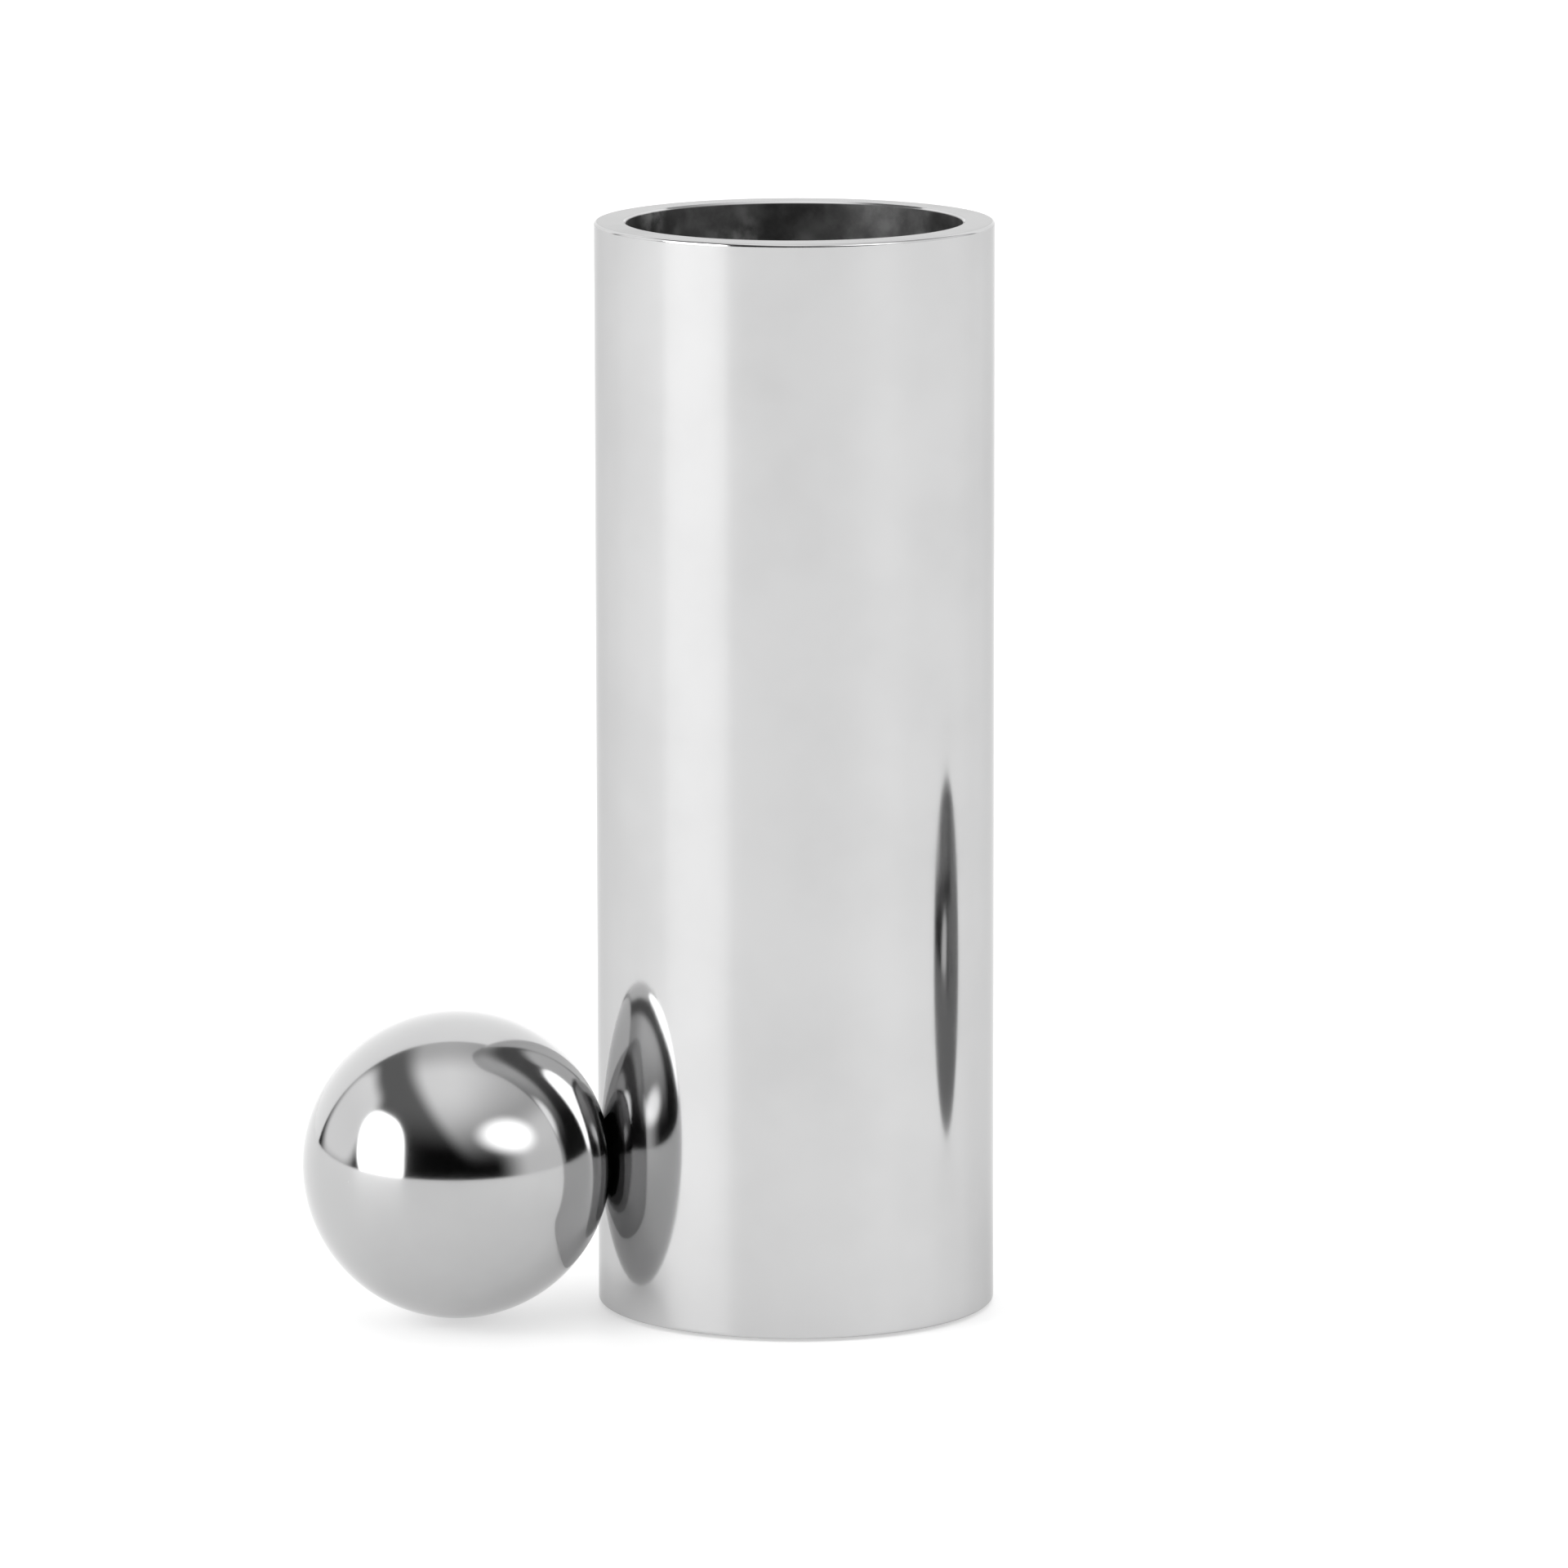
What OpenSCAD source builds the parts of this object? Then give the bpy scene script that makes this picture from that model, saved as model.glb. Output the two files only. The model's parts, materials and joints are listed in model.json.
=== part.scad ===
// Candle holder: a polished metal tube with a ball fixed beside its foot.
// The mouth of the tube holds a tealight on a lift-out pan, and the socket
// under the pan holds a taper candle. Units are millimetres.
// The origin is the centre of the foot pad's underside. +Z is up along the
// tube, and the ball stands towards -X.

/* [Tube] */
// Outer diameter of the tube
tube_d = 50; // [44:0.5:62]
// Wall thickness of the tube
tube_wall = 4; // [3:0.1:5]
// Length of the tube
tube_len = 137; // [110:1:170]
// Height of the chamfer on the inner edge at each end
bore_chamfer = 0.3; // [0.1:0.1:0.8]
// Radius on the outer edge at each end
rim_radius = 0.4; // [0.1:0.1:1]

/* [Ball] */
// Diameter of the ball
ball_d = 38.7; // [32:0.1:47]
// Depth to which the ball is cut to seat on the tube
ball_seat = 0.5; // [0.3:0.1:1]

/* [Ball screw] */
// Nominal diameter of the screw
screw_d = 5; // [4:0.5:6]
// Length of the screw under its head
screw_len = 16; // [14:1:20]
// Diameter of the screw's head
screw_head_d = 8.5; // [7:0.1:10]
// Height of the screw's head
screw_head_h = 5; // [4:0.1:6]
// Width across the flats of the screw's key hole
screw_key = 4; // [3:0.5:5]
// Depth of the key hole
screw_key_depth = 2.5; // [2:0.1:3]
// Radial clearance between the screw and the hole through the tube
screw_clearance = 0.25; // [0.1:0.05:0.5]
// Free depth of the hole in the ball beyond the screw's end
screw_run_out = 1.5; // [1:0.5:4]

/* [Washers] */
// Outer diameter of the saddle washer
saddle_d = 12; // [11:0.5:14]
// Thickness of the saddle washer at its thinnest
saddle_thin = 1.5; // [1:0.1:2.5]
// Outer diameter of the split lock washer
lock_d = 8.6; // [8:0.1:10]
// Thickness of the split lock washer
lock_t = 1.2; // [0.8:0.1:1.6]
// Width of the gap in the split lock washer
lock_gap = 0.8; // [0.5:0.1:1.2]
// Radial clearance between the washers and the screw
washer_clearance = 0.1; // [0.05:0.05:0.25]

/* [Candle pan] */
// Depth of the pan's floor below the tube's mouth
recess_depth = 20; // [16:1:26]
// Thickness of the pan's metal
pan_t = 1; // [0.8:0.1:1.5]
// Height of the pan's outside wall above its underside
pan_wall_h = 6; // [4:0.5:9]
// Radial clearance between the pan and the bore
pan_clearance = 0.4; // [0.2:0.1:0.8]
// Outside radius where the pan's wall turns into its floor
pan_bend = 2.2; // [2.1:0.1:3]

/* [Taper socket] */
// Bore of the socket
socket_bore = 22.6; // [20:0.1:24]
// Depth of the socket below the pan's floor
socket_depth = 22; // [16:1:28]
// Thickness of the socket's metal
socket_t = 1; // [0.8:0.1:1.5]
// Width of the socket's flange beyond its outside wall
socket_flange = 2.2; // [1.5:0.1:3]
// Diameter of the hole through which a stub is pushed out
push_hole_d = 4; // [2:0.5:6]

/* [Seat ring] */
// Height of the ring that carries the pan
ring_h = 4; // [3:0.5:8]
// Width of the ring's ledge
ring_ledge = 4; // [3:0.5:5]

/* [Base] */
// Thickness of the plug that closes the foot
plug_h = 8; // [5:0.5:9]
// Height of the recess below the plug, which takes the foot pad
plug_recess = 1.2; // [0.6:0.1:1.5]
// Thickness of the foot pad
pad_h = 1.6; // [1.6:0.1:2.5]
// Radial clearance between the foot pad and the bore
pad_clearance = 0.5; // [0.2:0.1:1]
// Chamfer on the plug's edges
plug_chamfer = 0.5; // [0.3:0.1:1]

/* [Hidden] */
$fn = 96;

// A small length by which a cutting shape runs past a face
eps = 1;

// Radii
tube_r = tube_d / 2;
bore_r = tube_r - tube_wall;
ball_r = ball_d / 2;
screw_r = screw_d / 2;
socket_r = socket_bore / 2;
socket_out_r = socket_r + socket_t;
flange_r = socket_out_r + socket_flange;
pan_r = bore_r - pan_clearance;

// Heights
foot_z = pad_h - plug_recess;               // lower end of the tube
mouth_z = foot_z + tube_len;                // upper end of the tube
plug_z = pad_h;                             // underside of the plug
ball_z = foot_z + ball_r;                   // centre of the ball
pan_floor_z = mouth_z - recess_depth;       // upper face of the pan's floor
pan_z = pan_floor_z - pan_t;                // underside of the pan
socket_floor_z = pan_floor_z - socket_depth;

// Places along X, measured outwards from the tube's axis towards the ball
ball_x = tube_r + ball_r - ball_seat;       // centre of the ball
saddle_x = sqrt(pow(bore_r, 2) - pow(saddle_d / 2, 2)) - saddle_thin;
head_x = saddle_x - lock_t;                 // face of the screw's head
screw_end_x = head_x + screw_len;

// Turns a shape drawn along +Z so that it points along -X at the ball's height
module towards_ball(x = 0) {
    translate([-x, 0, ball_z])
        rotate([0, -90, 0])
            children();
}

// A square ring's half section with a round on both of its outer corners
module rounded_band(r_in, r_out, z0, z1, round_r) {
    difference() {
        translate([r_in, z0])
            square([r_out - r_in, z1 - z0]);
        for (end = [[z0, 1], [z1, -1]])
            corner_cut(r_out, end[0], round_r, end[1]);
    }
}

// What a round of radius r takes off a corner at (x, z); dir is +1 at a lower corner
module corner_cut(x, z, r, dir) {
    difference() {
        translate([x - r, dir > 0 ? z - eps : z - r])
            square([r + eps, r + eps]);
        translate([x - r, z + dir * r])
            circle(r);
    }
}

// Cone that chamfers the end of a hole of radius r at height z; dir points out of the hole
module end_chamfer(r, z, c, dir) {
    translate([0, 0, z - dir * c])
        mirror([0, 0, dir > 0 ? 0 : 1])
            cylinder(h = 2 * c, r1 = r, r2 = r + 2 * c);
}

module tube() {
    color("silver")
        difference() {
            rotate_extrude()
                rounded_band(bore_r, tube_r, foot_z, mouth_z, rim_radius);
            end_chamfer(bore_r, mouth_z, bore_chamfer, 1);
            end_chamfer(bore_r, foot_z, bore_chamfer, -1);
            towards_ball(bore_r - eps)
                cylinder(h = tube_wall + 2 * eps, r = screw_r + screw_clearance);
        }
}

// Ring pressed into the bore, whose upper face carries the pan
module seat_ring() {
    color("darkgray")
        translate([0, 0, pan_z - ring_h])
            difference() {
                cylinder(h = ring_h, r = bore_r);
                translate([0, 0, -eps])
                    cylinder(h = ring_h + 2 * eps, r = bore_r - ring_ledge);
            }
}

// Shallow pan with a turned-up wall and a hole for the socket
module wax_pan() {
    color("gainsboro")
        rotate_extrude()
            difference() {
                union() {
                    translate([socket_out_r, pan_z])
                        square([pan_r - socket_out_r, pan_t]);
                    translate([pan_r - pan_bend, pan_z])
                        square([pan_bend, pan_wall_h]);
                }
                corner_cut(pan_r, pan_z, pan_bend, 1);
                translate([pan_r - pan_bend - eps, pan_floor_z + pan_bend - pan_t])
                    square([pan_bend - pan_t + eps, pan_wall_h]);
                intersection() {
                    translate([pan_r - pan_bend, pan_z + pan_bend])
                        circle(pan_bend - pan_t);
                    translate([pan_r - pan_bend, pan_z])
                        square(pan_bend);
                }
            }
}

// Drawn cup for a taper candle, which hangs from the pan's floor by its flange
module taper_socket() {
    color("gainsboro")
        rotate_extrude()
            union() {
                translate([socket_r, socket_floor_z])
                    square([socket_t, socket_depth]);
                translate([push_hole_d / 2, socket_floor_z - socket_t])
                    square([socket_out_r - push_hole_d / 2, socket_t]);
                translate([socket_r, pan_floor_z])
                    square([flange_r - socket_r, socket_t]);
            }
}

// Solid ball, cut to seat on the tube and bored for the screw
module ball() {
    color("silver")
        difference() {
            translate([-ball_x, 0, ball_z])
                sphere(ball_r);
            cylinder(h = ball_z + ball_d, r = tube_r);
            towards_ball()
                cylinder(h = screw_end_x + screw_run_out, r = screw_r);
        }
}

// Cap screw that holds the ball from inside the bore
module ball_screw() {
    color("dimgray")
        difference() {
            union() {
                towards_ball(head_x)
                    cylinder(h = screw_len, r = screw_r);
                towards_ball(head_x - screw_head_h)
                    cylinder(h = screw_head_h, r = screw_head_d / 2);
            }
            towards_ball(head_x - screw_head_h - eps)
                cylinder(h = screw_key_depth + eps, d = screw_key / cos(30), $fn = 6);
        }
}

// Split spring washer under the screw's head
module lock_washer() {
    color("gray")
        difference() {
            towards_ball(head_x)
                cylinder(h = lock_t, r = lock_d / 2);
            towards_ball(head_x - eps)
                cylinder(h = lock_t + 2 * eps, r = screw_r + washer_clearance);
            towards_ball(head_x - eps)
                translate([0, -lock_gap / 2, 0])
                    cube([lock_d, lock_gap, lock_t + 2 * eps]);
        }
}

// Washer with one flat face and one that fits the curve of the bore
module saddle_washer() {
    color("darkgray")
        difference() {
            intersection() {
                towards_ball(saddle_x)
                    cylinder(h = tube_r, r = saddle_d / 2);
                cylinder(h = ball_z + saddle_d, r = bore_r);
            }
            towards_ball(saddle_x - eps)
                cylinder(h = tube_r, r = screw_r + washer_clearance);
        }
}

// Heavy plug pressed into the foot
module base_plug() {
    color("darkgray")
        rotate_extrude()
            polygon([
                [0, plug_z],
                [bore_r - plug_chamfer, plug_z],
                [bore_r, plug_z + plug_chamfer],
                [bore_r, plug_z + plug_h - plug_chamfer],
                [bore_r - plug_chamfer, plug_z + plug_h],
                [0, plug_z + plug_h]
            ]);
}

// Felt disc glued under the plug, standing a little below the tube's end
module foot_pad() {
    color("darkslategray")
        cylinder(h = pad_h, r = bore_r - pad_clearance);
}

tube();
seat_ring();
wax_pan();
taper_socket();
ball();
ball_screw();
lock_washer();
saddle_washer();
base_plug();
foot_pad();
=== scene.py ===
"""Makes the looks of a candle holder: a polished tube with a ball beside its foot, the screw and
washers that hold the ball, the insert that holds a candle, the base, and the studio.

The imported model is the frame. Every length is in metres, in that model's own axes: +Z runs up the
tube, and the ball stands towards -X. Each piece has an operator, and main() calls them in order.
"""

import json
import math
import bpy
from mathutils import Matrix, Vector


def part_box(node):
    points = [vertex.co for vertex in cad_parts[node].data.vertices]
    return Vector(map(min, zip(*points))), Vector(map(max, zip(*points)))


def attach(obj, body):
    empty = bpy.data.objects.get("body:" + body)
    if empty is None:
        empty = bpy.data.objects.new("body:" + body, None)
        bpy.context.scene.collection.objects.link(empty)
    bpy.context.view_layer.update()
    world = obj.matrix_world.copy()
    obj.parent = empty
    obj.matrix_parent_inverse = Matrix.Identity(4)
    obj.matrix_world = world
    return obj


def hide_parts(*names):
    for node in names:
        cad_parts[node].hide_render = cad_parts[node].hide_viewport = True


bl_info = {
    "name": "Candle Holder",
    "version": (1, 0, 0),
    "blender": (4, 5, 0),
    "location": "3D View > Sidebar > Candle Holder",
    "description": "Makes a polished tube and ball candle holder, piece by piece, and its studio",
    "category": "Object",
}

import bmesh
import bpy
import numpy as np
from mathutils import Matrix, Vector

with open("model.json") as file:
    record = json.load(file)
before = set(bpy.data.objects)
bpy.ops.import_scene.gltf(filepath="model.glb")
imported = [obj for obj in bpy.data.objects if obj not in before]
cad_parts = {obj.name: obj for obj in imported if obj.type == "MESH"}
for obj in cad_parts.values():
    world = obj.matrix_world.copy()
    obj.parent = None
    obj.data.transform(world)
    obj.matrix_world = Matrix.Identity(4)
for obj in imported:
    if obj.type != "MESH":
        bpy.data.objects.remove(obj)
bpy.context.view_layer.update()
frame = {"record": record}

MM = 0.001
LAMP_AIM = Vector((0, 0, 0.06))
SENSOR_WIDTH = 36.0


def low(node):
    """Lowest corner of a CAD node's box."""
    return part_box(node)[0]


def high(node):
    """Highest corner of a CAD node's box."""
    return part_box(node)[1]


def mount(name):
    """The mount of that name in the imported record."""
    return next(m for m in frame["record"]["mounts"] if m["name"] == name)


# Sizes that the frame gives
TUBE_RADIUS = high("tube").x
TUBE_FOOT = low("tube").z
TUBE_MOUTH = high("tube").z
BORE_RADIUS = high("seat_ring").x
BALL_RADIUS = (high("ball").z - low("ball").z) / 2
BALL_X = low("ball").x + BALL_RADIUS
BALL_Z = (high("ball").z + low("ball").z) / 2
SOCKET_RADIUS = mount("candle_socket")["dims"]["r_mm"] * MM


# ---------------------------------------------------------------- settings


def length(name, description, default, low_mm=0.0, high_mm=1000.0):
    """A length property, given in millimetres and kept in metres."""
    return bpy.props.FloatProperty(
        name=name, description=description, default=default * MM,
        min=low_mm * MM, max=high_mm * MM, precision=5, subtype="DISTANCE", unit="LENGTH")


def colour(name, description, grey, blue=0.0):
    """A colour property: a grey, with a little added to its blue."""
    return bpy.props.FloatVectorProperty(
        name=name, description=description, default=(grey, grey, grey + blue),
        min=0.0, max=1.0, size=3, subtype="COLOR")


def fraction(name, description, default):
    """A property that runs from 0 to 1."""
    return bpy.props.FloatProperty(
        name=name, description=description, default=default, min=0.0, max=1.0, subtype="FACTOR")


def count(name, description, default):
    """A property that counts steps or repeats."""
    return bpy.props.IntProperty(name=name, description=description, default=default, min=3, max=1000)


class TubeSettings(bpy.types.PropertyGroup):
    """Sizes of the tube and the ball."""
    rim_round: length("Rim round", "Radius on the tube's outer edges", 0.4)
    bore_chamfer: length("Bore chamfer", "Chamfer on the tube's inner edges", 0.3)
    port_clearance: length("Port clearance", "Gap between the screw and its port in the wall", 0.25)
    columns: count("Columns", "Steps round the tube", 256)
    ball_columns: count("Ball columns", "Steps round the ball", 192)
    ball_rows: count("Ball rows", "Steps from the ball's seat to its far side", 120)
    hole_run_out: length("Hole run-out", "Depth of the ball's hole beyond the screw's end", 1.5)


class FasteningSettings(bpy.types.PropertyGroup):
    """Sizes of the screw and the washers."""
    head_height: length("Head height", "Height of the screw's head", 5.0)
    key_width: length("Key width", "Width across the flats of the key hole", 4.0)
    key_depth: length("Key depth", "Depth of the key hole at its walls", 2.5)
    screw_diameter: length("Screw diameter", "Diameter over the thread", 5.0)
    pitch: length("Pitch", "Rise of the thread in one turn", 0.8)
    thread_depth: length("Thread depth", "Depth of the thread's groove", 0.42)
    knurl_ridges: count("Knurl ridges", "Ridges round the screw's head", 36)
    knurl_depth: length("Knurl depth", "Depth between the ridges", 0.14)
    washer_clearance: length("Washer clearance", "Gap between a washer and the screw", 0.1)
    washer_gap: length("Washer gap", "Width of the lock washer's split", 0.8)


class InsertSettings(bpy.types.PropertyGroup):
    """Sizes of the pan, the socket and the ring that carries them."""
    metal: length("Metal", "Thickness of the pan's and the socket's metal", 1.0)
    pan_bend: length("Pan bend", "Outside radius between the pan's floor and its wall", 2.2)
    lip_round: length("Lip round", "Radius on the pan's and the flange's edges", 0.45)
    socket_bend: length("Socket bend", "Outside radius at the foot of the socket", 1.1)
    push_hole: length("Push hole", "Diameter of the hole in the socket's floor", 4.0)
    ring_ledge: length("Ring ledge", "Width of the seat ring's ledge", 4.0)
    columns: count("Columns", "Steps round the insert", 192)


class BaseSettings(bpy.types.PropertyGroup):
    """Sizes of the base plug and the felt pad."""
    plug_chamfer: length("Plug chamfer", "Chamfer on the plug's edges", 0.5)
    centre_mark: length("Centre mark", "Radius of the lathe's centre mark", 1.0)
    felt_ripple: length("Felt ripple", "Unevenness of the felt's faces", 0.05)
    felt_fray: length("Felt fray", "Unevenness of the felt's cut edge", 0.16)


class FinishSettings(bpy.types.PropertyGroup):
    """Colours and finishes of the metals and the felt."""
    tube: colour("Tube", "Colour of the tube's polished steel", 0.565, 0.002)
    polish: fraction("Polish", "Roughness of the tube's outside and of the ball", 0.085)
    tube_edge: colour("Tube edge", "Tint of the tube's steel where it turns away from the eye", 0.72)
    # painted shade: the ball's steel is set darker than the tube's, standing in for the shaded floor close
    # to the ball that it mirrors
    ball: colour("Ball", "Colour of the ball's polished steel", 0.47, 0.002)
    bore: colour("Bore", "Colour of the tube's unpolished bore", 0.15)
    spun: colour("Spun steel", "Colour of the pan and the socket", 0.5, 0.003)
    turned: colour("Turned steel", "Colour of the turned rings and plug", 0.44, 0.004)
    zinc: colour("Zinc", "Colour of the plated washer", 0.5, 0.025)
    black: colour("Black oxide", "Colour of the screw", 0.045, 0.003)
    felt: colour("Felt", "Colour of the felt pad", 0.03, 0.001)


# ---------------------------------------------------------------- shapes


def turns(steps):
    """Angles of one full turn in equal steps: the step's number times a full turn over the steps."""
    return np.arange(steps) * (2 * np.pi / steps)


def arc(centre, radius, start, end, steps):
    """Points of an arc: its centre plus its radius times (cos t, sin t), with t in degrees."""
    t = np.radians(np.linspace(start, end, steps + 1))
    return np.asarray(centre) + radius * np.stack([np.cos(t), np.sin(t)], axis=1)


def corner(before, here, after, radius, steps):
    """The points that round one corner of an outline: an arc tangent to both of its sides. Its centre
    lies on the corner's bisector, at the radius over the sine of half the corner's angle."""
    if radius == 0:
        return here[None]
    u = (before - here) / np.linalg.norm(before - here)
    v = (after - here) / np.linalg.norm(after - here)
    half = np.arccos(np.clip(u @ v, -1, 1)) / 2
    centre = here + (u + v) / np.linalg.norm(u + v) * radius / np.sin(half)
    first = here + u * radius / np.tan(half) - centre
    last = here + v * radius / np.tan(half) - centre
    start = np.arctan2(first[1], first[0])
    sweep = (np.arctan2(last[1], last[0]) - start + np.pi) % (2 * np.pi) - np.pi
    t = start + sweep * np.linspace(0, 1, steps + 1)
    return centre + radius * np.stack([np.cos(t), np.sin(t)], axis=1)


def outline(corners, closed=True, steps=6, margin=0.12 * MM):
    """Points of an outline whose corners are (across, along, round). Each side longer than a few
    margins gets a point a margin from each end, which keeps its shading flat."""
    corners = np.asarray(corners, float)
    total = len(corners)
    bends = [
        corner(corners[i - 1, :2], corners[i, :2], corners[(i + 1) % total, :2], corners[i, 2], steps)
        for i in range(total)]
    points = []
    for i, bend in enumerate(bends):
        points.append(bend)
        if closed or i + 1 < total:
            start, end = bend[-1], bends[(i + 1) % total][0]
            side = np.linalg.norm(end - start)
            if side > 4 * margin:
                points.append(start + (end - start) * np.array([[margin / side], [1 - margin / side]]))
    return np.concatenate(points)


def revolve(profile, columns):
    """Carries a profile of (radius, height) points round the Z axis:
    x = radius times cos a, y = radius times sin a, z = height."""
    radius, height = np.asarray(profile).T
    a = turns(columns)
    return np.stack([
        np.outer(radius, np.cos(a)), np.outer(radius, np.sin(a)),
        np.outer(height, np.ones(columns))], axis=2)


def face_ball(across, x, angle):
    """Points round the ball's own axis, which runs along X at the ball's height:
    y = across times cos a, z = the ball's height plus across times sin a."""
    return np.stack([
        x + 0 * across, across * np.cos(angle), BALL_Z + across * np.sin(angle)], axis=2)


def quads_between(lower, upper, around=True):
    """Four-cornered faces between rows of point numbers and the rows above them."""
    faces = np.stack([lower, np.roll(lower, -1, axis=-1), np.roll(upper, -1, axis=-1), upper], axis=-1)
    return faces if around else faces[..., :-1, :]


def fan(pole, ring):
    """Three-cornered faces from one point to a closed ring of points."""
    return np.stack([np.full(len(ring), pole), ring, np.roll(ring, -1)], axis=-1)


def new_piece(name, points, faces, sharp=32):
    """A mesh object at the origin, with unused points dropped, doubles merged, its normals pointing
    outwards and its edges sharp where they turn by more than the angle given in degrees."""
    used, numbers = np.unique(np.concatenate([f.ravel() for f in faces]), return_inverse=True)
    polygons, start = [], 0
    for block in faces:
        polygons += numbers[start:start + block.size].reshape(block.shape).tolist()
        start += block.size
    mesh = bpy.data.meshes.new(name)
    mesh.from_pydata(points[used].tolist(), [], polygons)
    work = bmesh.new()
    work.from_mesh(mesh)
    bmesh.ops.remove_doubles(work, verts=work.verts, dist=0.0005 * MM)
    bmesh.ops.recalc_face_normals(work, faces=work.faces)
    if work.calc_volume(signed=True) < 0:
        bmesh.ops.reverse_faces(work, faces=work.faces)
    work.to_mesh(mesh)
    work.free()
    mesh.shade_smooth()
    mesh.set_sharp_from_angle(angle=math.radians(sharp))
    piece = bpy.data.objects.new(name, mesh)
    bpy.context.scene.collection.objects.link(piece)
    return piece


def skin(name, grid, along=False, poles=(None, None), sharp=32):
    """A closed surface over a grid of rows of points. The rows close round on themselves. Where along
    is set the last row joins the first, and otherwise each end closes on its pole."""
    rows, columns = grid.shape[:2]
    ids = np.arange(rows * columns).reshape(rows, columns)
    points = grid.reshape(-1, 3)
    if along:
        faces = [quads_between(ids, np.roll(ids, -1, axis=0)).reshape(-1, 4)]
    else:
        faces = [quads_between(ids[:-1], ids[1:]).reshape(-1, 4)]
        for pole, ring in zip(poles, (ids[0], ids[-1])):
            faces.append(fan(len(points), ring))
            points = np.concatenate([points, [pole]])
    return new_piece(name, points, faces, sharp)


def block_edge(block):
    """Point numbers round the edge of a block of rows and columns, in one turn."""
    return np.concatenate([block[0, :-1], block[:-1, -1], block[-1, :0:-1], block[:0:-1, 0]])


def port_rings(points, loop, wall_radius, port_radius, first_number, steps=5):
    """Rings that narrow from a square loop on the tube's wall to the port's round edge. A ring's
    (y, z) is a blend of the loop's and the port's, and x = -sqrt(wall radius squared - y squared).
    Gives the new points and the rings' numbers, the loop's own first."""
    square = points[loop][:, 1:]
    offset = square - (0, BALL_Z)
    port = (0, BALL_Z) + port_radius * offset / np.linalg.norm(offset, axis=1)[:, None]
    blend = np.linspace(0, 1, steps + 1)[1:, None, None]
    flat = square + (port - square) * blend
    x = -np.sqrt(wall_radius ** 2 - flat[..., 0] ** 2)
    new = np.concatenate([x[..., None], flat], axis=2)
    numbers = first_number + np.arange(steps * len(loop)).reshape(steps, len(loop))
    return new.reshape(-1, 3), np.concatenate([loop[None], numbers])


def tube_surface(s, screw_radius):
    """The tube's wall, closed over its rim and its foot, with a round port for the ball's screw.
    Two cylinders share their heights, and a block of each gives way to rings round the port."""
    port_radius = screw_radius + s.port_clearance
    reach = 1.7 * port_radius
    half = math.ceil(reach * s.columns / (2 * math.pi * TUBE_RADIUS))
    block = BALL_Z + np.linspace(-reach, reach, 2 * half + 1)
    clear = 0.5 * MM
    below = np.linspace(TUBE_FOOT + clear, block[0], 8)[:-1]
    above = np.linspace(block[-1], TUBE_MOUTH - clear, 28)[1:]
    heights = np.concatenate([below, block, above])

    def wall(radius, edge):
        z = np.concatenate([[TUBE_FOOT + edge], heights, [TUBE_MOUTH - edge]])
        return np.stack([np.full(len(z), radius), z], axis=1)

    rim, cut, margin = s.rim_round, s.bore_chamfer, 0.12 * MM
    outside, inside = wall(TUBE_RADIUS, rim), wall(BORE_RADIUS, cut)
    top = np.concatenate([
        arc((TUBE_RADIUS - rim, TUBE_MOUTH - rim), rim, 0, 90, 6)[1:],
        [(TUBE_RADIUS - rim - margin, TUBE_MOUTH), (BORE_RADIUS + cut + margin, TUBE_MOUTH),
         (BORE_RADIUS + cut, TUBE_MOUTH)]])
    foot = (top * (1, -1) + (0, TUBE_MOUTH + TUBE_FOOT))[::-1]
    profile = np.concatenate([outside, top, inside[::-1], foot])
    grid = revolve(profile, s.columns)
    points = grid.reshape(-1, 3)
    ids = np.arange(len(points)).reshape(grid.shape[:2])
    quads = quads_between(ids, np.roll(ids, -1, axis=0))

    keep = np.ones(ids.shape, bool)
    first_row, first_column = 1 + len(below), s.columns // 2 - half
    span = 2 * half
    inner_start = len(outside) + len(top) + len(inside) - 1 - first_row - span
    rings = []
    for start, order, radius in ((first_row, 1, TUBE_RADIUS), (inner_start, -1, BORE_RADIUS)):
        keep[start:start + span, first_column:first_column + span] = False
        square = ids[start:start + span + 1, first_column:first_column + span + 1][::order]
        new, numbers = port_rings(points, block_edge(square), radius, port_radius, len(points))
        points = np.concatenate([points, new])
        rings.append(numbers)
    faces = [quads[keep].reshape(-1, 4)]
    faces += [quads_between(r[:-1], r[1:]).reshape(-1, 4) for r in rings]
    faces.append(quads_between(rings[0][-1], rings[1][-1]).reshape(-1, 4))
    return points, faces


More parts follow.
